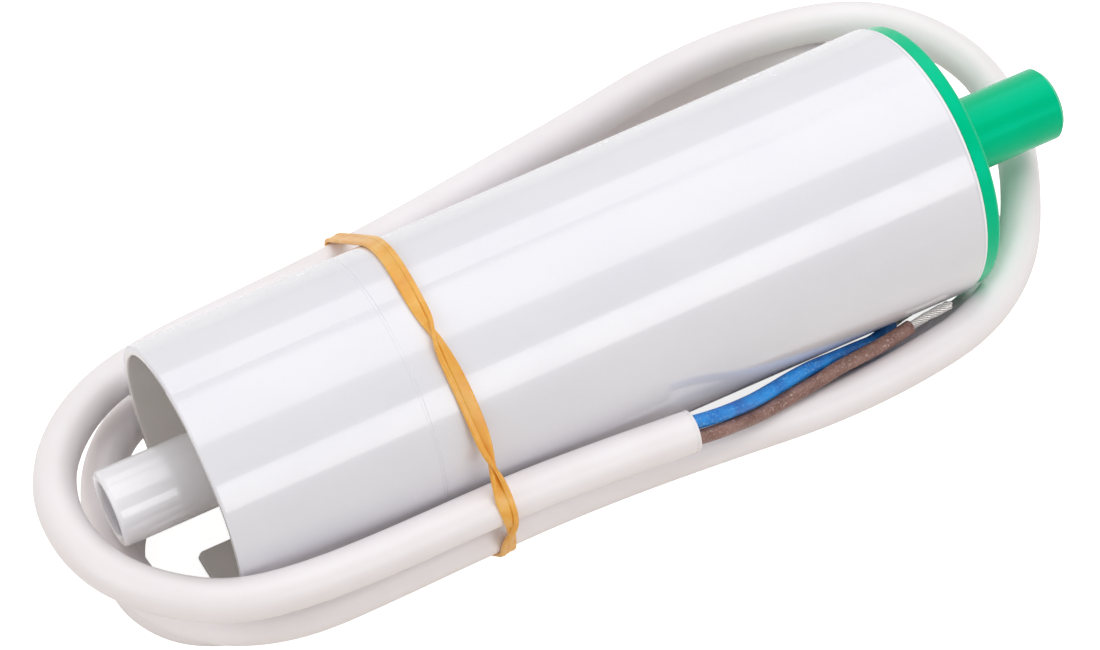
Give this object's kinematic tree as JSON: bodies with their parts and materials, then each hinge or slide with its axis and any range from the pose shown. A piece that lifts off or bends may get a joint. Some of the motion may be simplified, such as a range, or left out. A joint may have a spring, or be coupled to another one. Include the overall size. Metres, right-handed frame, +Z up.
{
  "type": "caravan water pump",
  "caption": "Inline low-voltage water pump: a tapered round housing with a hose spigot at each end and a two-core lead wound round it under a rubber band.",
  "frame": {"origin": "on the surface that the pump lies on, under the middle of its length from spigot end to spigot end", "axes": "+X along the pump axis from the outlet spigot to the inlet spigot, +Y towards the back of the picture, +Z up"},
  "size_m": [0.1628, 0.0712, 0.041],
  "materials": {
    "body_grey": "glossy moulded plastic, cool light grey",
    "cap_green": "glossy moulded plastic, bright sea green",
    "seal_rubber": "black nitrile rubber",
    "inner_black": "glass-filled plastic",
    "impeller_plastic": "moulded acetal",
    "can_steel": "zinc-plated drawn steel",
    "bell_plastic": "nylon end bell",
    "magnet_ferrite": "ferrite",
    "core_steel": "stacked silicon steel",
    "copper": "enamelled copper winding and copper bars",
    "shaft_steel": "ground steel",
    "bush_bronze": "sintered bronze",
    "brush_carbon": "carbon",
    "terminal_brass": "tinned brass strip",
    "cable_white": "soft white PVC",
    "core_blue": "soft blue PVC",
    "core_brown": "soft brown PVC",
    "tinned_strands": "tinned copper strands",
    "band_orange": "natural rubber band"
  },
  "bodies": {
    "pump": {"main_housing": "body_grey", "outlet_head": "body_grey", "inlet_cap": "cap_green", "head_o_ring": "seal_rubber", "cap_o_ring": "seal_rubber", "suction_plate": "inner_black", "guide_ring": "inner_black", "capsule_cup": "inner_black", "capsule_cover": "inner_black", "shaft_seal": "seal_rubber", "motor_can": "can_steel", "motor_end_bell": "bell_plastic", "front_bush": "bush_bronze", "rear_bush": "bush_bronze", "magnet_1": "magnet_ferrite", "magnet_2": "magnet_ferrite", "brush_1": "brush_carbon", "brush_2": "brush_carbon", "brush_arm_1": "terminal_brass", "brush_arm_2": "terminal_brass", "terminal_1": "terminal_brass", "terminal_2": "terminal_brass", "inner_lead_1": "core_brown", "inner_lead_2": "core_blue", "cable_grommet": "seal_rubber", "power_cable": "cable_white", "blue_core": "core_blue", "brown_core": "core_brown", "blue_strands": "tinned_strands", "brown_strands": "tinned_strands", "rubber_band": "band_orange"},
    "rotor": {"motor_shaft": "shaft_steel", "armature_core": "core_steel", "armature_coil_1": "copper", "armature_coil_2": "copper", "armature_coil_3": "copper", "commutator": "copper", "impeller": "impeller_plastic"}
  },
  "joints": [
    {"name": "rotor_spin", "type": "hinge", "parent": "pump", "child": "rotor", "pos_m": [0, 0, 0.0205], "axis": [1, 0, 0], "continuous": true}
  ]
}
